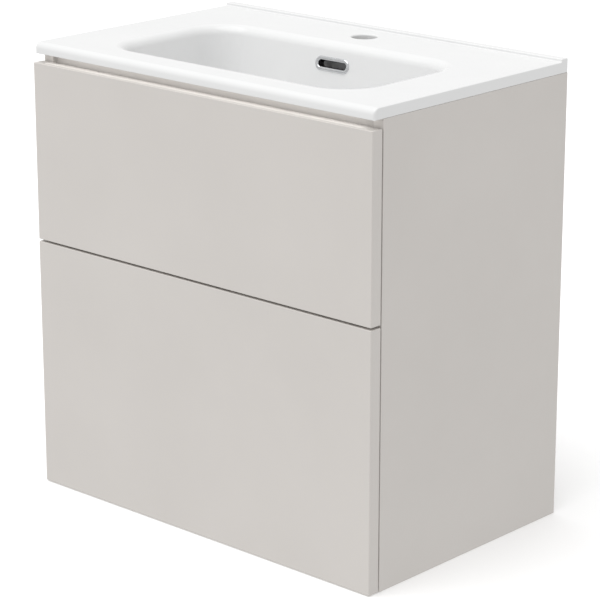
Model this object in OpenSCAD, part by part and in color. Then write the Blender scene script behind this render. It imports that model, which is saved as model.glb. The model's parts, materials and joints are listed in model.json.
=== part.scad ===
// Wall-hung bathroom vanity: two handle-less drawers under an inset ceramic basin.
// Origin at the middle of the underside, +X to the right, +Y to the wall, +Z up, in millimetres.

/* [Cabinet] */
// Width over the side panels
cabinet_w = 600; // [500:10:900]
// Height of the side panels
cabinet_h = 610; // [500:5:760]
// Depth from the faces of the drawer fronts to the wall
cabinet_d = 384; // [320:2:520]
// Thickness of the carcass boards
board_t = 16; // [15:0.5:20]
// Height of the rail behind the finger gap
front_rail_h = 60; // [40:1:75]
// Set-back of that rail from the front edges of the side panels
front_rail_inset = 8; // [5:0.5:14]
// Height of the two rails across the back
back_rail_h = 100; // [80:1:120]
// Room behind the back rails for the wall plates
wall_recess = 16; // [14:1:30]

/* [Drawer fronts] */
// Thickness of the drawer fronts
front_t = 18; // [15:0.5:22]
// Gap between the fronts and the front edges of the carcass
front_gap = 2; // [1.5:0.1:3]
// Height of the upper front
upper_front_h = 245; // [200:1:300]
// Height of the finger gap above the upper front
finger_gap = 12; // [10:0.5:20]
// Gap between the two fronts
drawer_gap = 3; // [2:0.5:5]
// Height of the lower front's bottom edge above the underside
front_lift = 1; // [0.5:0.5:3]

/* [Drawer boxes] */
// Thickness of the boards of the drawer boxes
box_t = 15; // [14:0.5:19]
// Thickness of the drawer bottoms
bottom_t = 6; // [5:0.5:9]
// Depth of the grooves that hold the drawer bottoms
groove_d = 5; // [3:0.5:7]
// Height of the drawer bottoms above the lower edges of the drawer sides
groove_h = 12; // [10:1:16]
// Height of the lower drawer's box
lower_box_h = 160; // [120:1:200]
// Clear width of the plumbing recess in the upper drawer
recess_w = 200; // [160:5:240]
// Room between the drawer boxes and the boards below or behind them
box_room = 10; // [8:1:20]

/* [Runners] */
// Width of a closed runner
runner_w = 12.7; // [12.5:0.1:13.5]
// Height of the fixed runner members
runner_h = 45.4; // [44:0.2:50]
// Thickness of the runners' sheet steel
steel_t = 1.2; // [1:0.1:1.3]
// Diameter of the runners' balls
ball_d = 4; // [3.8:0.1:4.1]

/* [Basin] */
// Thickness of the basin's edge
slab_t = 15; // [12:0.5:20]
// Height of the lip along the back edge
lip_h = 4; // [2:0.5:12]
// Thickness of that lip
lip_t = 13; // [8:0.5:20]
// Set-back of the basin's front edge from the faces of the drawer fronts
basin_setback = 3; // [0:0.5:6]
// Corner radius of the basin in plan
basin_corner_r = 5; // [3:0.5:12]
// Width of the deck on each side of the bowl
side_rim = 87; // [60:1:120]
// Depth of the tap ledge, from the bowl to the wall
tap_ledge = 114; // [100:1:130]
// Depth of the bowl below the deck
bowl_depth = 115; // [90:1:130]
// Thickness of the bowl's wall
bowl_wall = 8; // [7:0.5:10]
// Corner radius of the bowl at the deck
bowl_corner_r = 60; // [50:1:75]
// Radius between the bowl's walls and its floor
bowl_floor_r = 40; // [30:1:45]
// Inward slope of the bowl's walls between deck and floor
bowl_slope = 20; // [12:1:30]
// Diameter of the tap hole
tap_hole_d = 35; // [32:0.5:38]
// Distance from the wall to the middle of the tap hole
tap_hole_y = 55; // [50:1:60]
// Diameter of the waste hole
waste_hole_d = 46; // [40:0.5:50]
// Depth of the waste seat below the bowl's floor
waste_seat_h = 30; // [24:1:36]
// Depth of the overflow's middle below the deck
overflow_drop = 29; // [26:1:36]
// Width of the overflow's opening
overflow_w = 49; // [40:1:56]
// Height of the overflow's opening
overflow_h = 9; // [7:0.5:11]
// Width of the overflow ring's flange
flange_w = 6; // [4:0.5:7]
// Height by which that flange stands proud of the bowl
flange_t = 1.8; // [1:0.1:2.5]

/* [Fasteners] */
// Diameter of the cam locks
cam_d = 15; // [12:0.5:15]
// Depth of the cam locks
cam_l = 12; // [10:0.5:12.5]
// Diameter of the cam bolts
cam_bolt_d = 6; // [5:0.5:7]
// Distance from a board's end to the middle of its cam lock
cam_inset = 24; // [20:1:34]
// Diameter of the dowels
dowel_d = 8; // [6:0.5:10]
// Length of the dowels
dowel_l = 30; // [25:1:35]
// Diameter of the wood screws
screw_d = 3.5; // [3:0.1:4]
// Length of the wood screws
screw_l = 12; // [10:0.5:13]
// Diameter of the holes in the wall plates
plate_hole_d = 7; // [6:0.5:8]

/* [Clearances] */
// Radial clearance of a fastener in its hole
hole_clear = 0.1; // [0.05:0.01:0.2]
// Clearance round a part that rests in a slot
slot_clear = 0.3; // [0.2:0.05:0.5]
// Clearance between the bowl and the front rail at the deck
bowl_clear = 1; // [0.5:0.5:3]

/* [Hidden] */
$fn = 48;

// How far a cut runs past the face that it opens
past = 1;

// Planes of the carcass
half_w = cabinet_w / 2;
inner_x = half_w - board_t;
front_y = -cabinet_d / 2;
wall_y = cabinet_d / 2;
front_back_y = front_y + front_t;
carcass_y = front_back_y + front_gap;
rail_y = carcass_y + front_rail_inset;
rail_back_y = rail_y + board_t;
back_rail_y = wall_y - wall_recess - board_t;

// Heights of the drawer fronts
lower_front_z = front_lift;
upper_front_top = cabinet_h - finger_gap;
upper_front_z = upper_front_top - upper_front_h;
lower_front_top = upper_front_z - drawer_gap;

// Basin and bowl
deck_z = cabinet_h + slab_t;
bowl_x = half_w - side_rim;
bowl_front_y = rail_back_y + bowl_clear + bowl_wall;
bowl_back_y = wall_y - tap_ledge;
bowl_floor_z = deck_z - bowl_depth;
bowl_under_z = bowl_floor_z - bowl_wall;
waste_y = (bowl_front_y + bowl_back_y) / 2;
waste_seat_z = bowl_floor_z - waste_seat_h;
waste_boss_wall = 12;
waste_boss_r = waste_hole_d / 2 + waste_boss_wall;
// Lean of the bowl's back wall: a plane through its top edge that touches the floor's round edge
lean_run = bowl_slope + bowl_floor_r;
lean_rise = bowl_depth - bowl_floor_r;
wall_lean = acos(bowl_floor_r / norm([lean_run, lean_rise])) - atan2(lean_rise, lean_run);
overflow_y = bowl_back_y - overflow_drop * tan(wall_lean);
overflow_z = deck_z - overflow_drop;
sleeve_t = 1;
sleeve_l = 11;
flange_side = 0.85 * flange_w;
duct_wall = 6;
duct_depth = 18;
duct_rise = 8;
duct_back_y = bowl_back_y + bowl_wall + duct_depth;
duct_half_w = overflow_w / 2 + duct_wall;
duct_port_half_w = 8;
duct_port_h = 9;

// Drawer boxes
runner_step = 50;
runner_end_room = 4;
upper_box_lift = 12;
bowl_room = 12;
trap_room = 25;
box_x = inner_x - runner_w;
runner_l = runner_step * floor((back_rail_y - box_room - carcass_y) / runner_step);
runner_y = carcass_y + front_gap;
box_back_y = runner_y + runner_l + runner_end_room;
upper_box_z = upper_front_z + upper_box_lift;
upper_box_h = bowl_under_z - bowl_room - upper_box_z;
lower_box_z = board_t + box_room;
floor_top = groove_h + bottom_t;
recess_x = recess_w / 2;
recess_y = waste_y - waste_boss_r - trap_room;

// Runner profiles, as distances from the side panel and heights from the runner's middle
runner_rise = 40;
upper_runner_z = upper_box_z + runner_rise;
lower_runner_z = lower_box_z + runner_rise;
ball_r = ball_d / 2;
ball_gap = 0.2;
cage_t = 0.6;
fixed_v = runner_h / 2;
middle_v = fixed_v - steel_t - 2 * (ball_r + ball_gap);
drawer_v = middle_v - steel_t - 2 * (ball_r + ball_gap);
fixed_reach = 10.8;
middle_u = 5;
middle_reach = 11.6;
drawer_u = 7.8;
outer_ball_u = 8.2;
inner_ball_u = 9.4;
outer_cage_u = [2.9, 10.6];
inner_cage_u = [6.7, 12.2];
cage_short = 20;
cage_l = runner_l / 2 - cage_short;
balls_per_race = 6;
runner_screw_inset = 30;
runner_screw_y = [
    runner_y + runner_screw_inset, runner_y + runner_l / 2, runner_y + runner_l - runner_screw_inset
];
head_h = 1.1;
head_d = 7;

// Fixings between boards and side panels: [y, z, turn that points +Z the way the cam goes in]
down = [180, 0, 0];
forward = [90, 0, 0];
backward = [-90, 0, 0];
rail_mid_y = rail_y + board_t / 2;
back_mid_y = back_rail_y + board_t / 2;
upper_rail_z = cabinet_h - back_rail_h;
lower_rail_top = board_t + back_rail_h;
bottom_cam_inset = 60;
bottom_dowel_inset = 92;
front_rail_cam_rise = 20;
rail_fixing_inset = 16;
lower_rail_inset = 25;
carcass_cam_list = [
    [carcass_y + bottom_cam_inset, board_t / 2, down],
    [back_rail_y - bottom_cam_inset, board_t / 2, down],
    [rail_mid_y, cabinet_h - front_rail_h + front_rail_cam_rise, forward],
    [back_mid_y, upper_rail_z + rail_fixing_inset, backward],
    [back_mid_y, lower_rail_top - lower_rail_inset, backward]
];
carcass_dowel_list = [
    [carcass_y + bottom_dowel_inset, board_t / 2],
    [back_rail_y - bottom_dowel_inset, board_t / 2],
    [rail_mid_y, cabinet_h - rail_fixing_inset],
    [back_mid_y, cabinet_h - rail_fixing_inset],
    [back_mid_y, board_t + lower_rail_inset]
];
cam_bolt_grip = 10;
dowel_grip = 11;
front_cam_rise = 14;
front_cam_drop = 22;
upper_cam_z = [upper_box_z + floor_top + front_cam_rise, upper_box_z + upper_box_h - front_cam_drop];
lower_cam_z = [lower_box_z + floor_top + front_cam_rise, lower_box_z + lower_box_h - front_cam_drop];
box_screw_l = 35;
box_screw_head_h = 3;
bumper_r = 4;
bumper_inset = 20;

// Wall hangers, in the two upper back corners
hanger_w = 18;
hanger_d = 48;
hanger_h = 50;
hanger_drop = 30;
hanger_z = cabinet_h - hanger_drop - hanger_h;
hanger_y = back_rail_y - hanger_d;
hanger_foot = 3;
arm_w = 12;
arm_h = 5;
arm_rise = 36;
arm_z = hanger_z + arm_rise;
arm_x = inner_x - hanger_w / 2;
arm_in = 24;
arm_room = 2;
hook_t = 4;
hook_drop = 11;
hook_gap = 3;
plate_t = 2.5;
plate_w = 34;
plate_h = 47;
plate_lip_out = 10;
plate_top = arm_z - hook_drop - 1;
plate_hole_drop = 16;
plate_hole_pitch = 24;
plate_hole_z = [plate_top - plate_hole_drop, plate_top - plate_hole_drop - plate_hole_pitch];
adjuster_d = 7;
adjuster_l = 16;
adjuster_out = 2;
adjuster_z = [hanger_z + 12, hanger_z + 26];
drive_w = 1.2;
drive_l = 5;
hanger_screw_inset = 8;
hanger_screw_y = hanger_y + 10;
hanger_screw_z = [hanger_z + hanger_screw_inset, hanger_z + hanger_h - hanger_screw_inset];

// A block between two corners, given as ranges along x, y and z
module block(x, y, z) {
    translate([x[0], y[0], z[0]])
        cube([x[1] - x[0], y[1] - y[0], z[1] - z[0]]);
}

// Children as drawn on the right, or mirrored to the left
module on_side(side) {
    if (side < 0)
        mirror([1, 0, 0]) children();
    else
        children();
}

module both_sides() {
    children();
    mirror([1, 0, 0]) children();
}

// Rectangle with true round corners, centred on x and y
module round_plan(w, d, r) {
    square([w - 2 * r, d], center = true);
    square([w, d - 2 * r], center = true);
    for (x = [-1, 1], y = [-1, 1])
        translate([x * (w / 2 - r), y * (d / 2 - r)]) circle(r);
}

// Oblong with half-round ends, centred, extruded along +Y
module oblong(w, h, l) {
    rotate([-90, 0, 0])
        linear_extrude(l) {
            square([w - h, h], center = true);
            for (x = [-1, 1])
                translate([x * (w - h) / 2, 0]) circle(h / 2);
        }
}

// Cam bolts and cam locks of the carcass, on the right; grow widens them into their holes
module cam_bolt(at, grow) {
    translate([inner_x - cam_inset, at[0], at[1]])
        rotate([0, 90, 0]) cylinder(h = cam_inset + cam_bolt_grip + grow, r = cam_bolt_d / 2 + grow);
}

module cam_lock(at, grow) {
    translate([inner_x - cam_inset, at[0], at[1]])
        rotate(at[2]) translate([0, 0, -board_t / 2])
            cylinder(h = cam_l + grow, r = cam_d / 2 + grow);
}

module dowel(at, grow) {
    translate([inner_x + dowel_grip + grow - dowel_l - 2 * grow, at[0], at[1]])
        rotate([0, 90, 0]) cylinder(h = dowel_l + 2 * grow, r = dowel_d / 2 + grow);
}

module carcass_holes() {
    both_sides() {
        for (at = carcass_cam_list) {
            cam_bolt(at, hole_clear);
            cam_lock(at, hole_clear);
        }
        for (at = carcass_dowel_list)
            dowel(at, hole_clear);
    }
}

module carcass_dowels() {
    color("burlywood")
        both_sides() for (at = carcass_dowel_list) dowel(at, 0);
}

module carcass_cams() {
    color("silver")
        both_sides() for (at = carcass_cam_list) {
            cam_bolt(at, 0);
            difference() {
                cam_lock(at, 0);
                cam_bolt(at, hole_clear);
            }
        }
}

// A pan-head screw along +X, its head's underside at the origin
module screw(l, grow) {
    rotate([0, 90, 0]) cylinder(h = l + grow, r = screw_d / 2 + grow);
    if (grow == 0)
        translate([-head_h, 0, 0]) rotate([0, 90, 0]) cylinder(h = head_h, r = head_d / 2);
}

module fixed_screws(z, grow) {
    for (y = runner_screw_y)
        translate([inner_x - steel_t, y, z]) screw(screw_l, grow);
}

module drawer_screws(z, grow) {
    for (y = runner_screw_y)
        translate([box_x + steel_t, y, z]) mirror([1, 0, 0]) screw(screw_l, grow);
}

module hanger_side_screws(grow) {
    for (z = hanger_screw_z)
        translate([inner_x - hanger_foot, hanger_screw_y, z]) screw(screw_l, grow);
}

// Carcass boards
module side_panel(side) {
    color("#c3beba") on_side(side) difference() {
        block([inner_x, half_w], [carcass_y, wall_y], [0, cabinet_h]);
        carcass_holes();
        fixed_screws(upper_runner_z, hole_clear);
        fixed_screws(lower_runner_z, hole_clear);
        hanger_side_screws(hole_clear);
    }
}

module side_panel_left() { side_panel(-1); }

module side_panel_right() { side_panel(1); }

module bottom_panel() {
    color("#c3beba") difference() {
        block([-inner_x, inner_x], [carcass_y, wall_y - wall_recess], [0, board_t]);
        carcass_holes();
    }
}

module front_rail() {
    color("#c8c3bf") difference() {
        block([-inner_x, inner_x], [rail_y, rail_back_y], [cabinet_h - front_rail_h, cabinet_h]);
        carcass_holes();
    }
}

module back_rail_upper() {
    color("#c3beba") difference() {
        block([-inner_x, inner_x], [back_rail_y, back_rail_y + board_t], [upper_rail_z, cabinet_h]);
        carcass_holes();
        both_sides()
            block([arm_x - arm_w / 2 - arm_room, inner_x + past], [back_rail_y - past, wall_y],
                  [arm_z - hook_drop - arm_room, arm_z + arm_h + 2 * arm_room]);
    }
}

module back_rail_lower() {
    color("#c3beba") difference() {
        block([-inner_x, inner_x], [back_rail_y, back_rail_y + board_t], [board_t, lower_rail_top]);
        carcass_holes();
    }
}

// Wall hangers: housing, hook arm and the plate that it hooks over
module hook_arm(grow) {
    block([arm_x - arm_w / 2 - grow, arm_x + arm_w / 2 + grow],
          [back_rail_y - arm_in - grow, wall_y - hook_gap], [arm_z - grow, arm_z + arm_h + grow]);
}

module adjusters(grow) {
    for (z = adjuster_z)
        translate([arm_x, hanger_y - adjuster_out, z])
            rotate([-90, 0, 0]) cylinder(h = adjuster_l + grow, r = adjuster_d / 2 + grow);
}

module hanger(side) {
    color("whitesmoke") on_side(side) difference() {
        block([inner_x - hanger_w, inner_x], [hanger_y, back_rail_y], [hanger_z, hanger_z + hanger_h]);
        hook_arm(slot_clear);
        adjusters(hole_clear);
        hanger_side_screws(hole_clear);
        for (z = hanger_screw_z)
            translate([inner_x - hanger_w - past, hanger_screw_y, z])
                rotate([0, 90, 0])
                    cylinder(h = hanger_w - hanger_foot + past, r = head_d / 2 + slot_clear);
    }
}

module hanger_left() { hanger(-1); }

module hanger_right() { hanger(1); }

module hook(side) {
    color("silver") on_side(side) {
        hook_arm(0);
        block([arm_x - arm_w / 2, arm_x + arm_w / 2],
              [wall_y - hook_gap - hook_t, wall_y - hook_gap], [arm_z - hook_drop, arm_z]);
    }
}

module hook_left() { hook(-1); }

module hook_right() { hook(1); }

module hanger_screws() {
    color("silver") both_sides() hanger_side_screws(0);
}

module adjuster_screws() {
    color("silver") both_sides() difference() {
        adjusters(0);
        for (z = adjuster_z, turn = [0, 90])
            translate([arm_x, hanger_y - adjuster_out, z])
                rotate([0, turn, 0]) cube([drive_w, 2 * adjuster_out, drive_l], center = true);
    }
}

module wall_plate(side) {
    plate_x = [arm_x - plate_w / 2, inner_x - slot_clear];
    lip_y = wall_y - plate_lip_out;
    color("silver") on_side(side) difference() {
        union() {
            block(plate_x, [wall_y - plate_t, wall_y], [plate_top - plate_h, plate_top]);
            block(plate_x, [lip_y, wall_y], [plate_top - plate_t, plate_top]);
            block(plate_x, [lip_y, lip_y + plate_t], [plate_top - plate_t, arm_z]);
        }
        for (z = plate_hole_z)
            translate([arm_x, wall_y - plate_t - past, z])
                rotate([-90, 0, 0]) cylinder(h = plate_t + 2 * past, r = plate_hole_d / 2);
    }
}

module wall_plate_left() { wall_plate(-1); }

module wall_plate_right() { wall_plate(1); }

// Telescopic runners: a sheet-steel channel with its web at u and its flanges reaching to reach
module channel(u, reach, v, z) {
    low = min(u, reach);
    high = max(u, reach);
    web = u < reach ? [u, u + steel_t] : [u - steel_t, u];
    y = [runner_y, runner_y + runner_l];
    block([inner_x - web[1], inner_x - web[0]], y, [z - v, z + v]);
    block([inner_x - high, inner_x - low], y, [z - v, z - v + steel_t]);
    block([inner_x - high, inner_x - low], y, [z + v - steel_t, z + v]);
}

module fixed_runner(side, z) {
    color("gainsboro") on_side(side) difference() {
        channel(0, fixed_reach, fixed_v, z);
        fixed_screws(z, hole_clear);
    }
}

module middle_runner(side, z) {
    color("silver") on_side(side) channel(middle_u, middle_reach, middle_v, z);
}

module drawer_runner(side, z) {
    color("gainsboro") on_side(side) difference() {
        channel(runner_w, drawer_u, drawer_v, z);
        drawer_screws(z, hole_clear);
    }
}

// A pair of cages, each a strip-steel channel that carries one race of balls above and one below
module ball_cages(cage_u, ball_u, race_v, z) {
    mid_y = runner_y + runner_l / 2;
    cage_y = [mid_y - cage_l / 2, mid_y + cage_l / 2];
    pitch = cage_l / balls_per_race;
    ball_y = [for (i = [0:balls_per_race - 1]) cage_y[0] + pitch * (i + 0.5)];
    color("dimgray") both_sides() {
        difference() {
            union() {
                block([inner_x - cage_u[0] - cage_t, inner_x - cage_u[0]], cage_y,
                      [z - race_v - cage_t / 2, z + race_v + cage_t / 2]);
                for (v = [-race_v, race_v])
                    block([inner_x - cage_u[1], inner_x - cage_u[0]], cage_y,
                          [z + v - cage_t / 2, z + v + cage_t / 2]);
            }
            for (y = ball_y, v = [-race_v, race_v])
                translate([inner_x - ball_u, y, z + v])
                    cylinder(h = 2 * cage_t + past, r = ball_r + hole_clear, center = true);
        }
        for (y = ball_y, v = [-race_v, race_v])
            translate([inner_x - ball_u, y, z + v]) sphere(ball_r);
    }
}

module outer_cages(z) {
    ball_cages(outer_cage_u, outer_ball_u, middle_v + ball_r + ball_gap, z);
}

module inner_cages(z) {
    ball_cages(inner_cage_u, inner_ball_u, drawer_v + ball_r + ball_gap, z);
}

module upper_fixed_runner_left() { fixed_runner(-1, upper_runner_z); }

module upper_fixed_runner_right() { fixed_runner(1, upper_runner_z); }

module lower_fixed_runner_left() { fixed_runner(-1, lower_runner_z); }

module lower_fixed_runner_right() { fixed_runner(1, lower_runner_z); }

module upper_middle_runner_left() { middle_runner(-1, upper_runner_z); }

module upper_middle_runner_right() { middle_runner(1, upper_runner_z); }

module lower_middle_runner_left() { middle_runner(-1, lower_runner_z); }

module lower_middle_runner_right() { middle_runner(1, lower_runner_z); }

module upper_drawer_runner_left() { drawer_runner(-1, upper_runner_z); }

module upper_drawer_runner_right() { drawer_runner(1, upper_runner_z); }

module lower_drawer_runner_left() { drawer_runner(-1, lower_runner_z); }

module lower_drawer_runner_right() { drawer_runner(1, lower_runner_z); }

module upper_outer_ball_cages() { outer_cages(upper_runner_z); }

module upper_inner_ball_cages() { inner_cages(upper_runner_z); }

module lower_outer_ball_cages() { outer_cages(lower_runner_z); }

module lower_inner_ball_cages() { inner_cages(lower_runner_z); }

module fixed_runner_screws() {
    color("silver") both_sides() {
        fixed_screws(upper_runner_z, 0);
        fixed_screws(lower_runner_z, 0);
    }
}

module upper_runner_screws() {
    color("silver") both_sides() drawer_screws(upper_runner_z, 0);
}

module lower_runner_screws() {
    color("silver") both_sides() drawer_screws(lower_runner_z, 0);
}

// Cams that hold a drawer front to the ends of the box sides, on the right
module front_cam_bolt(z, grow) {
    translate([box_x - box_t / 2, front_back_y - cam_bolt_grip - grow, z])
        rotate([-90, 0, 0]) cylinder(h = cam_inset + cam_bolt_grip + grow, r = cam_bolt_d / 2 + grow);
}

module front_cam_lock(z, grow) {
    translate([box_x - box_t, front_back_y + cam_inset, z])
        rotate([0, 90, 0]) cylinder(h = cam_l + grow, r = cam_d / 2 + grow);
}

module front_cam_holes(heights) {
    both_sides() for (z = heights) {
        front_cam_bolt(z, hole_clear);
        front_cam_lock(z, hole_clear);
    }
}

module front_cams(heights) {
    color("silver") both_sides() for (z = heights) {
        front_cam_bolt(z, 0);
        difference() {
            front_cam_lock(z, 0);
            front_cam_bolt(z, hole_clear);
        }
    }
}

module upper_front_cams() { front_cams(upper_cam_z); }

module lower_front_cams() { front_cams(lower_cam_z); }

// Countersunk screws through the box sides into the ends of the box back, on the right
module corner_screws(heights, grow) {
    for (z = heights)
        translate([box_x, box_back_y - box_t / 2, z]) rotate([0, -90, 0]) {
            cylinder(h = box_screw_l + grow, r = screw_d / 2 + grow);
            cylinder(h = box_screw_head_h + grow, r = head_d / 2 + grow);
        }
}

module upper_box_screws() {
    color("silver") both_sides() corner_screws(upper_cam_z, 0);
}

module lower_box_screws() {
    color("silver") both_sides() corner_screws(lower_cam_z, 0);
}

// Drawer fronts, box boards and bottoms
module drawer_front(z, cam_heights) {
    color("#ccc8c5") difference() {
        block([-half_w, half_w], [front_y, front_back_y], z);
        front_cam_holes(cam_heights);
    }
}

module upper_front() { drawer_front([upper_front_z, upper_front_top], upper_cam_z); }

module lower_front() { drawer_front([lower_front_z, lower_front_top], lower_cam_z); }

module box_side(side, z, h, heights) {
    color("#b9b6b3") on_side(side) difference() {
        block([box_x - box_t, box_x], [front_back_y, box_back_y], [z, z + h]);
        block([box_x - box_t - past, box_x - box_t + groove_d], [front_back_y - past, box_back_y + past],
              [z + groove_h, z + floor_top]);
        front_cam_holes(heights);
        corner_screws(heights, hole_clear);
        drawer_screws(z + runner_rise, hole_clear);
    }
}

module upper_box_side_left() { box_side(-1, upper_box_z, upper_box_h, upper_cam_z); }

module upper_box_side_right() { box_side(1, upper_box_z, upper_box_h, upper_cam_z); }

module lower_box_side_left() { box_side(-1, lower_box_z, lower_box_h, lower_cam_z); }

module lower_box_side_right() { box_side(1, lower_box_z, lower_box_h, lower_cam_z); }

// A board across the back of a box, standing on the drawer bottom
module box_back(x, z, h, heights) {
    color("#b9b6b3") difference() {
        block(x, [box_back_y - box_t, box_back_y], [z + floor_top, z + h]);
        both_sides() corner_screws(heights, hole_clear);
    }
}

module upper_box_back_left() {
    box_back([box_t - box_x, -recess_x - box_t], upper_box_z, upper_box_h, upper_cam_z);
}

module upper_box_back_right() {
    box_back([recess_x + box_t, box_x - box_t], upper_box_z, upper_box_h, upper_cam_z);
}

module lower_box_back() {
    box_back([box_t - box_x, box_x - box_t], lower_box_z, lower_box_h, lower_cam_z);
}

module recess_side(side) {
    color("#b9b6b3") on_side(side)
        block([recess_x, recess_x + box_t], [recess_y, box_back_y],
              [upper_box_z + floor_top, upper_box_z + upper_box_h]);
}

module upper_recess_left() { recess_side(-1); }

module upper_recess_right() { recess_side(1); }

module upper_recess_front() {
    color("#b9b6b3")
        block([-recess_x - box_t, recess_x + box_t], [recess_y - box_t, recess_y],
              [upper_box_z + floor_top, upper_box_z + upper_box_h]);
}

module box_bottom(z) {
    edge = box_x - box_t + groove_d - hole_clear;
    block([-edge, edge], [front_back_y, box_back_y], [z + groove_h, z + floor_top]);
}

module upper_box_bottom() {
    color("#b9b6b3") difference() {
        box_bottom(upper_box_z);
        block([-recess_x, recess_x], [recess_y, box_back_y + past],
              [upper_box_z, upper_box_z + upper_box_h]);
    }
}

module lower_box_bottom() {
    color("#b9b6b3") box_bottom(lower_box_z);
}

// Soft bumpers on the backs of the fronts, opposite the edges of the side panels
module bumpers(heights) {
    color("white") both_sides() for (z = heights)
        translate([half_w - board_t / 2, front_back_y, z])
            rotate([-90, 0, 0]) cylinder(h = front_gap - slot_clear, r = bumper_r);
}

module upper_bumpers() { bumpers([upper_front_z + bumper_inset, upper_front_top - bumper_inset]); }

module lower_bumpers() { bumpers([lower_front_z + bumper_inset, lower_front_top - bumper_inset]); }

// The bowl as a hull of four round corners at the deck and four at the floor; grow is its wall,
// and rise carries its outline up past the deck
module bowl_form(grow, rise) {
    reach_x = bowl_x - bowl_corner_r;
    low_x = bowl_x - bowl_slope - bowl_floor_r;
    hull() {
        for (x = [-reach_x, reach_x], y = [bowl_front_y + bowl_corner_r, bowl_back_y - bowl_corner_r])
            translate([x, y, deck_z - 0.01])
                cylinder(h = rise + 0.01, r = bowl_corner_r + grow, $fn = 32);
        for (x = [-low_x, low_x], y = [bowl_front_y + lean_run, bowl_back_y - lean_run])
            translate([x, y, bowl_floor_z + bowl_floor_r]) sphere(bowl_floor_r + grow, $fn = 32);
    }
}

// Children with their +Y square into the bowl's back wall, in the middle of the overflow
module overflow_place() {
    translate([0, overflow_y, overflow_z]) rotate([-wall_lean, 0, 0]) children();
}

// Bore for the ring's sleeve and a flat seat for its flange
module overflow_cut() {
    bore_clear = 2 * (sleeve_t + hole_clear);
    seat_clear = 2 * slot_clear;
    overflow_place() {
        oblong(overflow_w + bore_clear, overflow_h + bore_clear, bowl_wall + duct_depth / 2);
        translate([0, -flange_t, 0])
            oblong(overflow_w + 2 * flange_w + seat_clear, overflow_h + 2 * flange_side + seat_clear,
                   flange_t);
    }
}

// Passage from the overflow down the back of the bowl and under its floor to the waste hole
module overflow_duct(wall) {
    block([-duct_half_w + duct_wall - wall, duct_half_w - duct_wall + wall],
          [bowl_back_y + bowl_wall - past - wall, duct_back_y - duct_wall + wall],
          [waste_seat_z + duct_wall - wall, overflow_z + duct_rise + wall]);
    block([-duct_port_half_w - wall, duct_port_half_w + wall],
          [waste_y, duct_back_y - duct_wall],
          [waste_seat_z + duct_wall - wall, waste_seat_z + duct_wall + duct_port_h + wall]);
}

module basin() {
    plan_y = (front_y + basin_setback + wall_y) / 2;
    plan_d = wall_y - front_y - basin_setback;
    color("white") difference() {
        union() {
            translate([0, plan_y, cabinet_h])
                linear_extrude(slab_t) round_plan(cabinet_w, plan_d, basin_corner_r);
            translate([0, plan_y, cabinet_h]) intersection() {
                linear_extrude(slab_t + lip_h) round_plan(cabinet_w, plan_d, basin_corner_r);
                translate([-half_w, plan_d / 2 - lip_t, 0]) cube([cabinet_w, lip_t, slab_t + lip_h]);
            }
            intersection() {
                bowl_form(bowl_wall, 0);
                block([-half_w, half_w], [front_y, wall_y], [waste_seat_z, cabinet_h + past]);
            }
            translate([0, waste_y, waste_seat_z]) cylinder(h = waste_seat_h, r = waste_boss_r);
            overflow_duct(duct_wall);
        }
        bowl_form(0, lip_h + past);
        overflow_duct(0);
        overflow_cut();
        translate([0, waste_y, waste_seat_z - past])
            cylinder(h = waste_seat_h + 2 * past, r = waste_hole_d / 2);
        translate([0, wall_y - tap_hole_y, cabinet_h - past])
            cylinder(h = slab_t + 2 * past, r = tap_hole_d / 2);
    }
}

module overflow_ring() {
    color("silver") overflow_place() difference() {
        union() {
            translate([0, -flange_t, 0])
                oblong(overflow_w + 2 * flange_w, overflow_h + 2 * flange_side, flange_t);
            oblong(overflow_w + 2 * sleeve_t, overflow_h + 2 * sleeve_t, sleeve_l);
        }
        translate([0, -flange_t - past, 0])
            oblong(overflow_w, overflow_h, sleeve_l + flange_t + 2 * past);
    }
}

side_panel_left();
side_panel_right();
bottom_panel();
front_rail();
back_rail_upper();
back_rail_lower();
carcass_dowels();
carcass_cams();
hanger_left();
hanger_right();
hook_left();
hook_right();
hanger_screws();
adjuster_screws();
wall_plate_left();
wall_plate_right();
upper_fixed_runner_left();
upper_fixed_runner_right();
lower_fixed_runner_left();
lower_fixed_runner_right();
upper_middle_runner_left();
upper_middle_runner_right();
lower_middle_runner_left();
lower_middle_runner_right();
upper_drawer_runner_left();
upper_drawer_runner_right();
lower_drawer_runner_left();
lower_drawer_runner_right();
upper_outer_ball_cages();
upper_inner_ball_cages();
lower_outer_ball_cages();
lower_inner_ball_cages();
fixed_runner_screws();
upper_runner_screws();
lower_runner_screws();
upper_front();
upper_box_side_left();
upper_box_side_right();
upper_box_back_left();
upper_box_back_right();
upper_recess_left();
upper_recess_right();
upper_recess_front();
upper_box_bottom();
lower_front();
lower_box_side_left();
lower_box_side_right();
lower_box_back();
lower_box_bottom();
upper_front_cams();
lower_front_cams();
upper_box_screws();
lower_box_screws();
upper_bumpers();
lower_bumpers();
basin();
overflow_ring();
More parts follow.
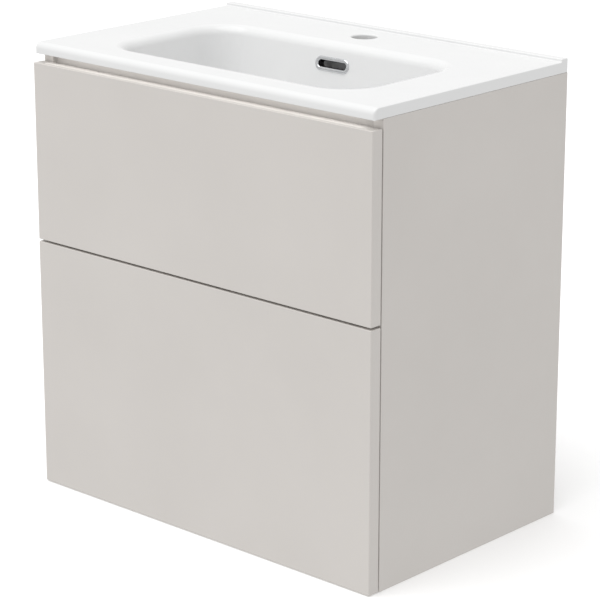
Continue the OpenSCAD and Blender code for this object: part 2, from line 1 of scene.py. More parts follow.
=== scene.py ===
import bmesh
import bpy
import json
import math
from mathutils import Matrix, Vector

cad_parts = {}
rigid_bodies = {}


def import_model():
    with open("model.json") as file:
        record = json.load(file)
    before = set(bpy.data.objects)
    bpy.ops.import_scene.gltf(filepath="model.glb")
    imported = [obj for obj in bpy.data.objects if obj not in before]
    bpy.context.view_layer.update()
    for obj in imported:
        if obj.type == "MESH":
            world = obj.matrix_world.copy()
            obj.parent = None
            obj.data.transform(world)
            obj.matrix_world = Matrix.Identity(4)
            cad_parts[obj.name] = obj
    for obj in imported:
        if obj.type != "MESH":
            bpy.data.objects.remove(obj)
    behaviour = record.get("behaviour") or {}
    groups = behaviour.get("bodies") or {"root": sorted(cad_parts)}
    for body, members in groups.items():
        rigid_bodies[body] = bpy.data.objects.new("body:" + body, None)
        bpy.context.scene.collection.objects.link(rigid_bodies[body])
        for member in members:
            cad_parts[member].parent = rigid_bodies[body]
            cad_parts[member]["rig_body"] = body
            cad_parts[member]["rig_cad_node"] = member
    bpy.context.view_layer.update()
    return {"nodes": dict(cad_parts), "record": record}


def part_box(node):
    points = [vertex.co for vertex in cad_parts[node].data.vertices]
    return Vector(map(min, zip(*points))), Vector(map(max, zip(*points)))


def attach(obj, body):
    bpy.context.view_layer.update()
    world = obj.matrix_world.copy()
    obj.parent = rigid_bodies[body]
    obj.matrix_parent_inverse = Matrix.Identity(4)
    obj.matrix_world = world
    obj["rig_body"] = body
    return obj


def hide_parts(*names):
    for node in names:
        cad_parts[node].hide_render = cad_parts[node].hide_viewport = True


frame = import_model()
nodes = frame["nodes"]
sameSpot = 1e-5  # points closer than this are one place


# small helpers for modelling by operators

def deselectAll():
    if bpy.context.object and bpy.context.object.mode != "OBJECT":
        bpy.ops.object.mode_set(mode="OBJECT")
    bpy.ops.object.select_all(action="DESELECT")


def makeActive(piece):
    deselectAll()
    piece.select_set(True)
    bpy.context.view_layer.objects.active = piece


def startEdit(piece, mode):
    makeActive(piece)
    bpy.ops.object.mode_set(mode="EDIT")
    bpy.ops.mesh.select_mode(type=mode)
    bpy.ops.mesh.select_all(action="DESELECT")


def endEdit():
    bpy.ops.object.mode_set(mode="OBJECT")


def pick(kind, test):
    # selects the verts, edges or faces that pass the test, and nothing else
    bpy.ops.mesh.select_all(action="DESELECT")
    mesh = bpy.context.edit_object.data
    edited = bmesh.from_edit_mesh(mesh)
    for item in getattr(edited, kind):
        if test(item):
            item.select_set(True)
    bmesh.update_edit_mesh(mesh)


def addBox(name, low, high):
    # a box between two corners, its place in its mesh
    deselectAll()
    low, high = Vector(low), Vector(high)
    bpy.ops.mesh.primitive_cube_add(size=1, location=(low + high) / 2, scale=high - low)
    bpy.ops.object.transform_apply(location=True, rotation=True, scale=True)
    piece = bpy.context.object
    piece.name = name
    return piece


def addModifier(piece, kind, **settings):
    modifier = piece.modifiers.new(kind.lower(), kind)
    for key, value in settings.items():
        setattr(modifier, key, value)
    return modifier


def applyModifiers(piece):
    makeActive(piece)
    for modifier in list(piece.modifiers):
        bpy.ops.object.modifier_apply(modifier=modifier.name)


def placePiece(piece, location, tilt=(0, 0, 0)):
    # moves a piece that was modelled round the origin, and puts its place in its mesh
    makeActive(piece)
    piece.location = location
    piece.rotation_euler = tilt
    bpy.ops.object.transform_apply(location=True, rotation=True, scale=True)


def fixNormals(piece):
    startEdit(piece, "VERT")
    bpy.ops.mesh.select_all(action="SELECT")
    bpy.ops.mesh.remove_doubles(threshold=0.000002)
    bpy.ops.mesh.normals_make_consistent(inside=False)
    endEdit()


def cutWith(piece, cutter, operation="DIFFERENCE"):
    fixNormals(cutter)
    addModifier(piece, "BOOLEAN", operation=operation, object=cutter, solver="EXACT")
    applyModifiers(piece)
    bpy.data.objects.remove(cutter)


def smoothPiece(piece, angle=35):
    makeActive(piece)
    bpy.ops.object.shade_smooth_by_angle(angle=math.radians(angle))
    addModifier(piece, "WEIGHTED_NORMAL", keep_sharp=True, mode="FACE_AREA")
    applyModifiers(piece)


def finishPiece(piece, name, material, slotName, body, *replaced):
    piece.name = name
    piece.data.name = name
    piece.data.materials.clear()
    piece.data.materials.append(material)
    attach(piece, body)
    if replaced:
        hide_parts(*replaced)
    return piece


def turnedPiece(name, points, sides=64):
    # a round solid about Z, drawn as (radius, height) points from the bottom up
    deselectAll()
    firstRadius, firstHeight = points[0]
    bpy.ops.mesh.primitive_circle_add(vertices=sides, radius=firstRadius, fill_type="NGON",
                                      location=(0, 0, firstHeight))
    bpy.ops.object.transform_apply(location=True, rotation=True, scale=True)
    piece = bpy.context.object
    piece.name = name
    startEdit(piece, "FACE")
    bpy.ops.mesh.select_all(action="SELECT")
    for (radius, height), (nextRadius, nextHeight) in zip(points, points[1:]):
        bpy.ops.mesh.extrude_region_move(
            TRANSFORM_OT_translate={"value": (0, 0, nextHeight - height)})
        grow = nextRadius / radius
        bpy.ops.transform.resize(value=(grow, grow, 1), center_override=(0, 0, nextHeight))
    endEdit()
    fixNormals(piece)
    return piece


def roundSheet(name, width, depth, radius, segments):
    # a flat rounded rectangle about the origin, facing +Z
    deselectAll()
    bpy.ops.mesh.primitive_plane_add(size=1, scale=(1, 1, 1))
    piece = bpy.context.object
    piece.name = name
    piece.scale = (width, depth, 1)
    bpy.ops.object.transform_apply(location=True, rotation=True, scale=True)
    startEdit(piece, "VERT")
    bpy.ops.mesh.select_all(action="SELECT")
    bpy.ops.mesh.bevel(offset=radius, segments=segments, affect="VERTICES", clamp_overlap=False)
    bpy.ops.mesh.select_all(action="SELECT")
    bpy.ops.mesh.remove_doubles(threshold=0.00003)
    endEdit()
    return piece


# procedural materials, all on object coordinates

def newMaterial(name, **sockets):
    material = bpy.data.materials.new(name)
    material.use_nodes = True
    shader = material.node_tree.nodes["Principled BSDF"]
    for socket, value in sockets.items():
        shader.inputs[socket].default_value = value
    return material, material.node_tree, shader


def addNode(tree, kind, **settings):
    node = tree.nodes.new(kind)
    for key, value in settings.items():
        if key in node.inputs:
            node.inputs[key].default_value = value
        else:
            setattr(node, key, value)
    return node


def objectPattern(tree, scale=(1, 1, 1)):
    # object coordinates, stretched where a pattern runs along the piece
    coordinates = addNode(tree, "ShaderNodeTexCoord")
    mapping = addNode(tree, "ShaderNodeMapping", Scale=scale)
    tree.links.new(coordinates.outputs["Object"], mapping.inputs["Vector"])
    return mapping.outputs["Vector"]


def addNoise(tree, place, scale, detail=2, roughness=0.5):
    noise = addNode(tree, "ShaderNodeTexNoise", Scale=scale, Detail=detail, Roughness=roughness)
    tree.links.new(place, noise.inputs["Vector"])
    return noise.outputs["Fac"]


def addTones(tree, shader, factor, tones, stops=(0.3, 0.7)):
    # base colour between two close tones
    ramp = addNode(tree, "ShaderNodeValToRGB")
    for element, tone, stop in zip(ramp.color_ramp.elements, tones, stops):
        element.position = stop
        element.color = (*tone, 1)
    tree.links.new(factor, ramp.inputs["Fac"])
    tree.links.new(ramp.outputs["Color"], shader.inputs["Base Color"])


def addRoughness(tree, shader, factor, low, high):
    spread = addNode(tree, "ShaderNodeMapRange")
    spread.inputs["To Min"].default_value = low
    spread.inputs["To Max"].default_value = high
    tree.links.new(factor, spread.inputs["Value"])
    tree.links.new(spread.outputs["Result"], shader.inputs["Roughness"])


def addBump(tree, shader, height, strength, distance, below=None):
    bump = addNode(tree, "ShaderNodeBump", Strength=strength, Distance=distance)
    tree.links.new(height, bump.inputs["Height"])
    if below:
        tree.links.new(below, bump.inputs["Normal"])
    tree.links.new(bump.outputs["Normal"], shader.inputs["Normal"])
    return bump.outputs["Normal"]

def lacquerMaterial():
    # matt sprayed lacquer: a fine orange peel, faint cloudiness, a slightly uneven sheen
    look = {"tones": ((0.588, 0.560, 0.532), (0.612, 0.583, 0.554)), "cloudScale": 5,
            "sheen": (0.42, 0.54), "sheenScale": 34,
            "wave": (0.10, 0.0006), "waveScale": 60,  # strength and depth
            "peel": (0.12, 0.0003), "peelScale": 620}
    material, tree, shader = newMaterial("greyLacquer")
    place = objectPattern(tree)
    addTones(tree, shader, addNoise(tree, place, look["cloudScale"], 4), look["tones"])
    addRoughness(tree, shader, addNoise(tree, place, look["sheenScale"], 3), *look["sheen"])
    wave = addBump(tree, shader, addNoise(tree, place, look["waveScale"], 1), *look["wave"])
    addBump(tree, shader, addNoise(tree, place, look["peelScale"], 2), *look["peel"], wave)
    return material


def drawerBoardMaterial():
    # melamine with a linen grain: two crossing weaves of fine threads
    look = {"tones": ((0.60, 0.585, 0.56), (0.69, 0.675, 0.65)), "threadScale": 230,
            "stretch": 0.06, "sheen": (0.45, 0.6), "relief": (0.25, 0.0003)}
    material, tree, shader = newMaterial("linenMelamine")
    stretch = look["stretch"]
    across = addNoise(tree, objectPattern(tree, (1, 1, stretch)), look["threadScale"], 2)
    along = addNoise(tree, objectPattern(tree, (stretch, stretch, 1)), look["threadScale"], 2)
    both = addNode(tree, "ShaderNodeMath", operation="ADD")
    tree.links.new(across, both.inputs[0])
    tree.links.new(along, both.inputs[1])
    weave = addNode(tree, "ShaderNodeMath", operation="MULTIPLY")
    weave.inputs[1].default_value = 0.5  # the mean of the two
    tree.links.new(both.outputs[0], weave.inputs[0])
    addTones(tree, shader, weave.outputs[0], look["tones"])
    addRoughness(tree, shader, weave.outputs[0], *look["sheen"])
    addBump(tree, shader, weave.outputs[0], *look["relief"])
    return material


def ceramicMaterial():
    # white glaze over a fine-grained body, which ripples very slightly
    look = {"tones": ((0.735, 0.738, 0.738), (0.755, 0.757, 0.755)), "toneScale": 9,
            "sheen": (0.16, 0.22), "sheenScale": 45, "ripple": (0.02, 0.0004), "rippleScale": 16}
    material, tree, shader = newMaterial("whiteGlaze", **{"IOR": 1.42})
    place = objectPattern(tree)
    addTones(tree, shader, addNoise(tree, place, look["toneScale"], 4), look["tones"])
    addRoughness(tree, shader, addNoise(tree, place, look["sheenScale"], 3), *look["sheen"])
    addBump(tree, shader, addNoise(tree, place, look["rippleScale"], 1), *look["ripple"])
    return material


def metalMaterial(name, tones, sheen, scale, relief, grain=(1, 1, 1)):
    # plated or bare metal: tone, sheen and a faint relief from one stretched grain
    material, tree, shader = newMaterial(name, **{"Metallic": 1.0})
    factor = addNoise(tree, objectPattern(tree, grain), scale, 4, 0.6)
    addTones(tree, shader, factor, tones)
    addRoughness(tree, shader, factor, *sheen)
    addBump(tree, shader, factor, *relief)
    return material


def galvanisedMaterial():
    # rolled steel strip with a zinc bloom
    look = {"tones": ((0.50, 0.51, 0.53), (0.62, 0.63, 0.64)), "bloomScale": 160,
            "rolling": (1, 0.03, 1), "rollingScale": 900, "sheen": (0.26, 0.42),
            "relief": (0.15, 0.0001)}
    material, tree, shader = newMaterial("galvanisedSteel", **{"Metallic": 1.0})
    bloom = addNode(tree, "ShaderNodeTexVoronoi", Scale=look["bloomScale"])
    tree.links.new(objectPattern(tree), bloom.inputs["Vector"])
    bloomTone = addNode(tree, "ShaderNodeSeparateColor")
    tree.links.new(bloom.outputs["Color"], bloomTone.inputs["Color"])
    addTones(tree, shader, bloomTone.outputs["Red"], look["tones"])
    rolled = addNoise(tree, objectPattern(tree, look["rolling"]), look["rollingScale"], 3, 0.6)
    addRoughness(tree, shader, rolled, *look["sheen"])
    addBump(tree, shader, rolled, *look["relief"])
    return material


def mouldedMaterial(name, tones, sheen, grainScale, **sockets):
    # injection-moulded plastic or rubber with a fine spark-eroded grain
    look = {"toneScale": 30, "sheenScale": 120, "relief": (0.2, 0.0001)}
    material, tree, shader = newMaterial(name, **sockets)
    place = objectPattern(tree)
    addTones(tree, shader, addNoise(tree, place, look["toneScale"], 3), tones)
    addRoughness(tree, shader, addNoise(tree, place, look["sheenScale"], 2), *sheen)
    addBump(tree, shader, addNoise(tree, place, grainScale, 2), *look["relief"])
    return material


def beechMaterial():
    # fluted dowel wood: pale long grain with short dark flecks
    look = {"tones": ((0.47, 0.31, 0.17), (0.64, 0.47, 0.29)), "grain": (0.05, 1, 1),
            "grainScale": 900, "sheen": (0.55, 0.7), "relief": (0.3, 0.0002)}
    material, tree, shader = newMaterial("beech")
    grain = addNoise(tree, objectPattern(tree, look["grain"]), look["grainScale"], 5, 0.6)
    addTones(tree, shader, grain, look["tones"])
    addRoughness(tree, shader, grain, *look["sheen"])
    addBump(tree, shader, grain, *look["relief"])
    return material


def floorMaterial():
    # matt and pale, with a little glow that keeps it from going grey
    look = {"tones": ((0.93, 0.93, 0.93), (0.95, 0.95, 0.95)), "toneScale": 3,
            "sheen": (0.7, 0.8), "sheenScale": 12, "glow": 0.06}
    material, tree, shader = newMaterial(
        "paleFloor", **{"Emission Color": (1, 1, 1, 1), "Emission Strength": look["glow"]})
    place = objectPattern(tree)
    addTones(tree, shader, addNoise(tree, place, look["toneScale"], 2), look["tones"])
    addRoughness(tree, shader, addNoise(tree, place, look["sheenScale"], 2), *look["sheen"])
    return material


lacquer = lacquerMaterial()
drawerBoard = drawerBoardMaterial()
glaze = ceramicMaterial()
chrome = metalMaterial("polishedChrome", tones=((0.58, 0.59, 0.60), (0.66, 0.67, 0.68)),
                       sheen=(0.10, 0.16), scale=60, relief=(0.05, 0.00005))
zinc = metalMaterial("brightZinc", tones=((0.58, 0.59, 0.61), (0.70, 0.70, 0.70)),
                     sheen=(0.24, 0.36), scale=420, relief=(0.2, 0.0001))
steel = galvanisedMaterial()
cageSteel = metalMaterial("cageSteel", tones=((0.33, 0.33, 0.34), (0.42, 0.42, 0.43)),
                          sheen=(0.25, 0.4), scale=800, relief=(0.2, 0.0001), grain=(1, 0.05, 1))
plastic = mouldedMaterial("whitePlastic", tones=((0.74, 0.74, 0.73), (0.80, 0.80, 0.79)),
                          sheen=(0.38, 0.48), grainScale=900)
silicone = mouldedMaterial("clearSilicone", tones=((0.80, 0.81, 0.82), (0.86, 0.87, 0.88)),
                           sheen=(0.3, 0.4), grainScale=300,
                           **{"Subsurface Weight": 0.3, "Subsurface Scale": 0.002})
beech = beechMaterial()
# painted shade: near-black tones for the overflow sleeve's lining, standing in for the shade
# inside the hole
paintedShadeLining = mouldedMaterial("paintedShadeLining", tones=((0.012, 0.012, 0.013), (0.02, 0.02, 0.021)),
                              sheen=(0.3, 0.42), grainScale=900)
finishes = {"lacquered_board": lacquer, "drawer_board": drawerBoard, "dowel_beech": beech,
            "glazed_ceramic": glaze, "chrome": chrome, "zinc_steel": zinc, "runner_steel": steel,
            "hanger_plastic": plastic, "bumper_silicone": silicone}
print("stage: materials")

# the CAD pieces: who they ride on, and their finish
nodeBody = {name: body for body, members in frame["record"]["behaviour"]["bodies"].items()
            for name in members}
nodeSlot = {part["node"]: part["material_slot"] for part in frame["record"]["subparts"]}
for name, part in nodes.items():
    part.data.materials.clear()
    part.data.materials.append(cageSteel if "ball_cages" in name else finishes[nodeSlot[name]])

basinForm = {
    "slab": 0.015, "lipHeight": 0.004, "lipWidth": 0.013,
    "cornerRadius": 0.005, "noseRadius": 0.009, "lipRadius": 0.0018, "sideRadius": 0.0014,
    "underRadius": 0.0011,
    "bowlSide": 0.087, "bowlFront": 0.0527, "bowlBack": 0.114, "bowlCorner": 0.052,
    "bowlDepth": 0.115, "bowlWall": 0.008, "slope": 0.0175, "rimRadius": 0.015, "rimSteps": 12,
    "floorRadius": 0.033, "floorTurn": 86, "floorEnd": 0.0015,
    "wasteFront": 0.1585, "wasteRadius": 0.023, "wasteSeat": 0.030,
    "bossRadius": 0.035, "bossChamfer": 0.002,
    "dish": ((0, -0.0052), (0.0006, -0.0041), (0.0018, -0.0034), (0.008, -0.0022),
             (0.0096, -0.0015), (0.0112, -0.0006), (0.0132, -0.0001), (0.0150, 0.0001),
             (0.0150, 0.004)),  # outwards from the hole, height from the bowl's floor
    "tapRadius": 0.0175, "tapY": 0.055, "tapEdge": 0.0028, "tapPast": 0.003,
    "overflowDrop": 0.029, "overflowWidth": 0.049, "overflowHeight": 0.0088, "sleeve": 0.0011,
    "slotDepth": 0.020, "slotPast": 0.003,
    "ductWall": 0.006, "ductDepth": 0.018, "ductRadius": 0.002, "shaftDepth": 0.025,
    "shaftBore": 0.019, "shaftHead": 0.008, "portHalf": 0.008, "portHeight": 0.009,
    "portOverlap": 0.01, "cutPast": 0.002,
}
basinLow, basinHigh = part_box("basin")
deckZ = basinHigh.z - basinForm["lipHeight"]
underZ = deckZ - basinForm["slab"]
lipY = basinHigh.y - basinForm["lipWidth"]
bowlFrontY = basinLow.y + basinForm["bowlFront"]
bowlBackY = basinHigh.y - basinForm["bowlBack"]
bowlHalfX = basinHigh.x - basinForm["bowlSide"]
floorZ = deckZ - basinForm["bowlDepth"]
seatZ = floorZ - basinForm["wasteSeat"]
wasteY = basinLow.y + basinForm["wasteFront"]
arcIn = basinForm["slope"] + basinForm["floorRadius"]  # middle of the floor's round edge, inwards
arcDown = basinForm["bowlDepth"] - basinForm["floorRadius"]  # and below the deck
wallLean = (math.acos(basinForm["floorRadius"] / math.hypot(arcIn, arcDown))
            - math.atan2(arcDown, arcIn))
overflowY = bowlBackY - basinForm["overflowDrop"] * math.tan(wallLean)
overflowZ = deckZ - basinForm["overflowDrop"]
ductHalf = basinForm["overflowWidth"] / 2 + basinForm["ductWall"]
ductBack = bowlBackY + basinForm["bowlWall"] + basinForm["ductDepth"]


def extrudeBy(height):
    bpy.ops.mesh.extrude_region_move(TRANSFORM_OT_translate={"value": (0, 0, height)})


def atHeight(edge, z):
    return all(abs(v.co.z - z) < sameSpot for v in edge.verts)


def slabSkin():
    # the deck slab with its rounded nose and the lip along the wall, open where the bowl comes in
    form = basinForm
    slab = addBox("basinSlab", (basinLow.x, basinLow.y, underZ), (basinHigh.x, basinHigh.y, deckZ))
    startEdit(slab, "FACE")
    bpy.ops.mesh.select_all(action="SELECT")
    bpy.ops.mesh.bisect(plane_co=(0, lipY, 0), plane_no=(0, 1, 0))
    pick("faces", lambda face: face.normal.z > 0.9 and face.calc_center_median().y > lipY)
    extrudeBy(form["lipHeight"])
    bpy.ops.mesh.select_all(action="SELECT")
    bpy.ops.mesh.dissolve_limited(angle_limit=math.radians(1))

    def lengthwise(y, z):
        return lambda edge: (atHeight(edge, z)
                             and all(abs(v.co.y - y) < sameSpot for v in edge.verts))

    bpy.ops.mesh.select_mode(type="EDGE")
    for y, z, radius, segments in ((basinLow.y, deckZ, form["noseRadius"], 10),
                                   (lipY, deckZ, form["lipRadius"], 5),
                                   (lipY, basinHigh.z, form["lipRadius"], 5),
                                   (basinHigh.y, basinHigh.z, form["lipRadius"], 5)):
        pick("edges", lengthwise(y, z))
        bpy.ops.mesh.bevel(offset=radius, segments=segments, affect="EDGES", clamp_overlap=False)
    endEdit()
    softenEnds(slab)
    startEdit(slab, "FACE")
    pick("faces", lambda face: abs(face.normal.z) > 0.999 and face.calc_area() > 0.1)
    bpy.ops.mesh.delete(type="FACE")
    endEdit()
    return slab


def softenEnds(slab):
    # the end outlines and the underside get their own radii, as shares of the corner's
    form = basinForm
    mesh = slab.data
    weights = mesh.attributes.new("bevel_weight_edge", "FLOAT", "EDGE")
    noseZ = deckZ - form["noseRadius"]
    for edge in mesh.edges:
        ends = [mesh.vertices[i].co for i in edge.vertices]
        onEnd = (abs(ends[0].x - ends[1].x) < sameSpot
                 and abs(abs(ends[0].x) - basinHigh.x) < sameSpot)
        middle = (ends[0] + ends[1]) / 2
        radius = 0
        if all(abs(p.z - underZ) < sameSpot for p in ends):
            radius = form["underRadius"]
        elif onEnd and middle.y < basinLow.y + form["noseRadius"]:
            rise = min(1, max(0, (middle.z - noseZ) / form["noseRadius"]))
            radius = form["cornerRadius"] + (form["sideRadius"] - form["cornerRadius"]) * rise
        elif onEnd:
            radius = form["sideRadius"]
        weights.data[edge.index].value = radius / form["cornerRadius"]
    addModifier(slab, "BEVEL", width=form["cornerRadius"], segments=5, limit_method="WEIGHT",
                use_clamp_overlap=False)
    applyModifiers(slab)


def bowlSkin(name, startZ, profile):
    # a rounded outline sunk ring by ring; profile is (distance inwards, height) from the rim down
    firstIn = profile[0][0]
    corner = basinForm["bowlCorner"] - firstIn
    skin = roundSheet(name, 2 * (bowlHalfX - firstIn), bowlBackY - bowlFrontY - 2 * firstIn,
                      corner, 20)
    startEdit(skin, "FACE")
    bpy.ops.mesh.select_all(action="SELECT")
    for (inwards, height), (nextIn, nextHeight) in zip(profile, profile[1:]):
        bpy.ops.mesh.inset(thickness=nextIn - inwards, depth=nextHeight - height)
    endEdit()
    placePiece(skin, (0, (bowlFrontY + bowlBackY) / 2, startZ))
    return skin


def innerProfile():
    # the soft rim, and then the wall down to the floor
    form = basinForm
    turn = math.pi / 2 - wallLean
    tangent = form["rimRadius"] * math.tan(turn / 2)
    points = []
    for step in range(form["rimSteps"] + 1):
        angle = turn * step / form["rimSteps"]
        points.append((-tangent + form["rimRadius"] * math.sin(angle),
                       -form["rimRadius"] * (1 - math.cos(angle))))
    return points + floorArc(form["floorRadius"])


def outerProfile():
    form = basinForm
    start = form["slab"] * math.tan(wallLean) - form["bowlWall"] / math.cos(wallLean)
    return [(start, 0)] + [(inwards, down + form["slab"])
                           for inwards, down in floorArc(form["floorRadius"] + form["bowlWall"])]


def floorArc(radius, steps=14):
    # from the lean of the wall round to the flat floor, as (inwards, height from the deck)
    last = math.radians(basinForm["floorTurn"])
    points = []
    for step in range(steps + 1):
        angle = wallLean + (last - wallLean) * step / steps
        points.append((arcIn - radius * math.cos(angle), -arcDown - radius * math.sin(angle)))
    return points + [(arcIn - basinForm["floorEnd"], -arcDown - radius)]


def basinShell():
    # slab and both skins of the bowl, closed by the deck and the underside round the bowl
    slab = slabSkin()
    inner = bowlSkin("bowlInner", deckZ, innerProfile())
    outer = bowlSkin("bowlOuter", underZ, outerProfile())
    makeActive(slab)
    inner.select_set(True)
    outer.select_set(True)
    bpy.ops.object.join()
    basin = bpy.context.object
    startEdit(basin, "EDGE")
    for z in (deckZ, underZ):
        pick("edges", lambda edge: edge.is_boundary and atHeight(edge, z))
        bpy.ops.mesh.fill(use_beauty=True)
    endEdit()
    fixNormals(basin)
    return basin


def addWasteBoss(basin):
    form = basinForm
    chamfer = form["bossChamfer"]
    boss = turnedPiece("wasteBoss", [(form["bossRadius"] - chamfer, seatZ),
                                     (form["bossRadius"], seatZ + chamfer),
                                     (form["bossRadius"], floorZ - form["bowlWall"] / 2)])
    placePiece(boss, (0, wasteY, 0))
    cutWith(basin, boss, "UNION")


def addOverflowDuct(basin):
    # a shaft behind the bowl and a foot that leads from it to the waste boss, both hollow
    form = basinForm
    wall = form["ductWall"]
    shaft = addBox("ductShaft", (-ductHalf, ductBack - form["shaftDepth"], seatZ),
                   (ductHalf, ductBack, underZ + form["cutPast"]))
    foot = addBox("ductFoot", (-form["portHalf"] - wall, wasteY, seatZ),
                  (form["portHalf"] + wall, ductBack - wall,
                   seatZ + form["portHeight"] + 2 * wall))
    for part in (shaft, foot):
        addModifier(part, "BEVEL", width=form["ductRadius"], segments=3)
        applyModifiers(part)
        cutWith(basin, part, "UNION")
    inside = ductHalf - wall
    cutWith(basin, addBox("shaftCut", (-inside, ductBack - form["shaftBore"], seatZ + wall),
                          (inside, ductBack - wall, overflowZ + form["shaftHead"])))
    cutWith(basin, addBox("portCut", (-form["portHalf"], wasteY, seatZ + wall),
                          (form["portHalf"], ductBack - form["portOverlap"],
                           seatZ + wall + form["portHeight"])))


def cutWasteHole(basin):
    # the hole, with a shallow dish for the flange of the waste
    form = basinForm
    waste = form["wasteRadius"]
    dish = [(waste + out, floorZ + up) for out, up in form["dish"]]
    wasteCut = turnedPiece("wasteCut", [(waste, seatZ - form["cutPast"])] + dish, 96)
    placePiece(wasteCut, (0, wasteY, 0))
    cutWith(basin, wasteCut)


def cutTapHole(basin):
    # the hole, with a softened edge
    form = basinForm
    tap, edge = form["tapRadius"], form["tapEdge"]
    turns = [step * math.pi / 12 for step in range(7)]
    flare = [(tap + edge * (1 - math.cos(turn)), deckZ - edge + edge * math.sin(turn))
             for turn in turns]
    tapCut = turnedPiece("tapCut", [(tap, underZ - form["cutPast"])] + flare
                         + [(tap + edge, deckZ + form["tapPast"])], 96)
    placePiece(tapCut, (0, basinHigh.y - form["tapY"], 0))
    cutWith(basin, tapCut)


def cutOverflowSlot(basin):
    # square to the leaning wall
    form = basinForm
    width = form["overflowWidth"] + 2 * form["sleeve"]
    height = form["overflowHeight"] + 2 * form["sleeve"]
    slot = roundSheet("slotCut", width, height, height / 2 - sameSpot, 16)
    startEdit(slot, "FACE")
    bpy.ops.mesh.select_all(action="SELECT")
    extrudeBy(-form["slotDepth"])
    endEdit()
    placePiece(slot, (0, 0, form["slotPast"]))
    placePiece(slot, (0, overflowY, overflowZ), (math.pi / 2 - wallLean, 0, 0))
    cutWith(basin, slot)


def makeBasin():
    basin = basinShell()
    print("stage: basin skin closed")
    addWasteBoss(basin)
    addOverflowDuct(basin)
    print("stage: basin duct")
    cutWasteHole(basin)
    cutTapHole(basin)
    cutOverflowSlot(basin)
    fixNormals(basin)
    smoothPiece(basin, 30)
    return finishPiece(basin, "basinGlazed", glaze, "glazed_ceramic", "carcass", "basin")


makeBasin()
print("stage: basin")

ringForm = {
    "width": 0.0490, "height": 0.0088, "flange": 0.0052, "sleeveWall": 0.001, "sleeve": 0.011,
    "dome": ((0, 0.0007), (0.12, 0.0013), (0.3, 0.0017), (0.5, 0.0018), (0.72, 0.0016),
             (0.88, 0.0011), (1.0, 0.0001)),  # share of the flange inwards, and height
    "sleeveMouth": 0.0004, "liningStart": 0.0002,
}


def makeOverflowRing():
    # a domed chrome flange and its sleeve, modelled flat and then set square into the bowl's wall
    form = ringForm
    outerWidth = form["width"] + 2 * form["flange"]
    outerHeight = form["height"] + 2 * form["flange"]
    dome = form["dome"]
    ring = roundSheet("overflowRing", outerWidth, outerHeight, outerHeight / 2 - sameSpot, 20)
    startEdit(ring, "FACE")
    bpy.ops.mesh.select_all(action="SELECT")
    extrudeBy(dome[0][1])
    for (share, height), (nextShare, nextHeight) in zip(dome, dome[1:]):
        bpy.ops.mesh.inset(thickness=(nextShare - share) * form["flange"],
                           depth=nextHeight - height)
    extrudeBy(-form["sleeve"] + form["sleeveMouth"])
    bpy.ops.mesh.delete(type="FACE")

    # the sleeve's outside, from the back of the flange
    pick("faces", lambda face: abs(face.normal.z) > 0.9 and face.calc_area() > 0.0003)
    bpy.ops.mesh.inset(thickness=form["flange"] - form["sleeveWall"], depth=0)
    extrudeBy(-form["sleeve"])
    bpy.ops.mesh.delete(type="FACE")
    bpy.ops.mesh.select_mode(type="EDGE")
    pick("edges", lambda edge: edge.is_boundary)
    bpy.ops.mesh.bridge_edge_loops()
    endEdit()
    fixNormals(ring)
    placePiece(ring, (0, overflowY, overflowZ), (math.pi / 2 - wallLean, 0, 0))
    smoothPiece(ring, 50)
    finishPiece(ring, "overflowRingChrome", chrome, "chrome", "carcass", "overflow_ring")

    # the sleeve's inside gets a near-black lining: painted shade for the dark inside of the
    # overflow hole
    ring.data.materials.append(paintedShadeLining)
    inward = Vector((0, math.cos(wallLean), -math.sin(wallLean)))
    middle = Vector((0, overflowY, overflowZ))
    for face in ring.data.polygons:
        if (Vector(face.center) - middle).dot(inward) > -form["liningStart"]:
            face.material_index = 1
    return ring


makeOverflowRing()
print("stage: overflow ring")


# boards and hardware: copies of the CAD pieces with their long edges softened

def looseMesh(name):
    # an unparented copy of a CAD piece, its triangles merged back into flat faces
    part = nodes[name]
    piece = part.copy()
    piece.data = part.data.copy()
    bpy.context.scene.collection.objects.link(piece)
    piece.parent = None
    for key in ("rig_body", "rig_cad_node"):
        if key in piece:
            del piece[key]
    startEdit(piece, "VERT")
    bpy.ops.mesh.select_all(action="SELECT")
    bpy.ops.mesh.customdata_custom_splitnormals_clear()
    bpy.ops.mesh.remove_doubles(threshold=0.000005)
    bpy.ops.mesh.dissolve_limited(angle_limit=math.radians(0.5))
    endEdit()
    return piece


def softenEdges(piece, radius, segments, shortest):
    # weights the straight sharp edges that are at least so long, and rounds them
    mesh = piece.data
    edited = bmesh.new()
    edited.from_mesh(mesh)
    layer = edited.edges.layers.float.new("bevel_weight_edge")
    for edge in edited.edges:
        if len(edge.link_faces) == 2 and edge.calc_length() > shortest:
            if edge.calc_face_angle() > math.radians(60):
                edge[layer] = 1.0
    edited.to_mesh(mesh)
    edited.free()
    addModifier(piece, "BEVEL", width=radius, segments=segments, limit_method="WEIGHT",
                use_clamp_overlap=False)
    applyModifiers(piece)


def softenedCopy(name, radius, segments, shortest):
    piece = looseMesh(name)
    softenEdges(piece, radius, segments, shortest)
    smoothPiece(piece)
    slotName = nodeSlot[name]
    return finishPiece(piece, name + "_soft", finishes[slotName], slotName, nodeBody[name], name)


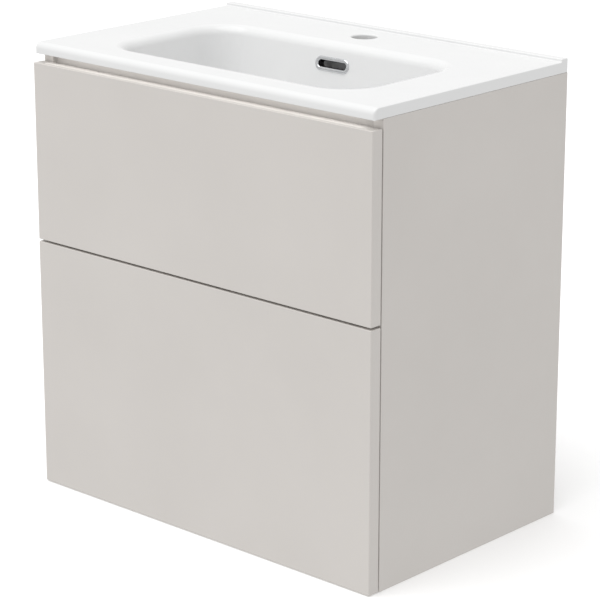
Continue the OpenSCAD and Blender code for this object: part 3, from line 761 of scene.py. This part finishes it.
edgeForm = {
    "fronts": {"radius": 0.0012, "segments": 4, "shortest": 0.012},
    "boards": {"radius": 0.0007, "segments": 3, "shortest": 0.012},
    "bottoms": {"radius": 0.0005, "segments": 2, "shortest": 0.004},
    "channels": {"radius": 0.0004, "segments": 3, "shortest": 0.003},
    "hangers": {"radius": 0.0010, "segments": 3, "shortest": 0.006},
    "plates": {"radius": 0.0004, "segments": 3, "shortest": 0.0022},
}
groups = {
    "fronts": ["upper_front", "lower_front"],
    "bottoms": ["upper_box_bottom", "lower_box_bottom"],
    "channels": [name for name in nodes if "_runner_" in name and "screws" not in name],
    "hangers": ["hanger_left", "hanger_right"],
    "plates": ["hook_left", "hook_right", "wall_plate_left", "wall_plate_right"],
}
groups["boards"] = [name for name, slotName in nodeSlot.items() if slotName.endswith("board")
                    and name not in groups["fronts"] + groups["bottoms"]]
for group, members in groups.items():
    for name in members:
        softenedCopy(name, **edgeForm[group])
    print("stage:", group, len(members))

stageForm = {
    "floorSize": 14, "floorDrop": 0.0004, "skyStrength": 0.82,
    # soft suns: azimuth from the front towards the right, height, angular size, strength
    "suns": {"topLight": (-22, 68, 60, 0.52)}, "sunDistance": 4,
    # a strip light laid along the finger gap, so that the gap doesn't go dark
    "gapSize": (0.566, 0.009), "gapPlace": (0, -0.1875, 0.6040), "gapPower": 0.038,
}


def addLamp(name, kind):
    lamp = bpy.data.lights.new(name, kind)
    holder = bpy.data.objects.new(name, lamp)
    bpy.context.scene.collection.objects.link(holder)
    return lamp, holder


def makeStage():
    form = stageForm
    deselectAll()
    bpy.ops.mesh.primitive_plane_add(size=form["floorSize"], location=(0, 0, -form["floorDrop"]))
    bpy.ops.object.transform_apply(location=True, rotation=True, scale=True)
    floor = bpy.context.object
    floor.name = "floor"
    floor.data.materials.append(floorMaterial())
    floor.visible_diffuse = False

    world = bpy.data.worlds.new("studio")
    bpy.context.scene.world = world
    world.use_nodes = True
    background = world.node_tree.nodes["Background"]
    background.inputs["Color"].default_value = (1.0, 1.0, 1.0, 1)
    background.inputs["Strength"].default_value = form["skyStrength"]
    for name, (azimuth, rise, spread, power) in form["suns"].items():
        lamp, holder = addLamp(name, "SUN")
        lamp.angle = math.radians(spread)
        lamp.energy = power * math.pi
        across, up = math.radians(azimuth), math.radians(rise)
        source = Vector((math.sin(across) * math.cos(up), -math.cos(across) * math.cos(up),
                         math.sin(up)))
        holder.location = source * form["sunDistance"]
        holder.rotation_euler = (-source).to_track_quat("-Z", "Y").to_euler()

    strip, holder = addLamp("gapLight", "AREA")
    strip.shape = "RECTANGLE"
    strip.size, strip.size_y = form["gapSize"]
    strip.energy = form["gapPower"]
    holder.location = form["gapPlace"]
    holder.rotation_euler = (math.pi / 2, 0, 0)
    holder.visible_camera = False
    holder.visible_glossy = False
    bpy.context.scene.view_settings.view_transform = "Standard"


def makeCamera():
    look = {"place": (2.196, -2.390, 1.280), "azimuth": 42.48, "down": 17.06, "lens": 150.8,
            "sensor": 36, "farthest": 60}
    camera = bpy.data.cameras.new("camera")
    camera.lens = look["lens"]
    camera.sensor_width = look["sensor"]
    camera.clip_end = look["farthest"]
    holder = bpy.data.objects.new("camera", camera)
    bpy.context.scene.collection.objects.link(holder)
    holder.location = look["place"]
    azimuth, down = math.radians(look["azimuth"]), math.radians(look["down"])
    aim = Vector((-math.sin(azimuth) * math.cos(down), math.cos(azimuth) * math.cos(down),
                  -math.sin(down)))
    holder.rotation_euler = aim.to_track_quat("-Z", "Y").to_euler()
    bpy.context.scene.camera = holder


makeStage()
makeCamera()
print("stage: floor, light and camera")
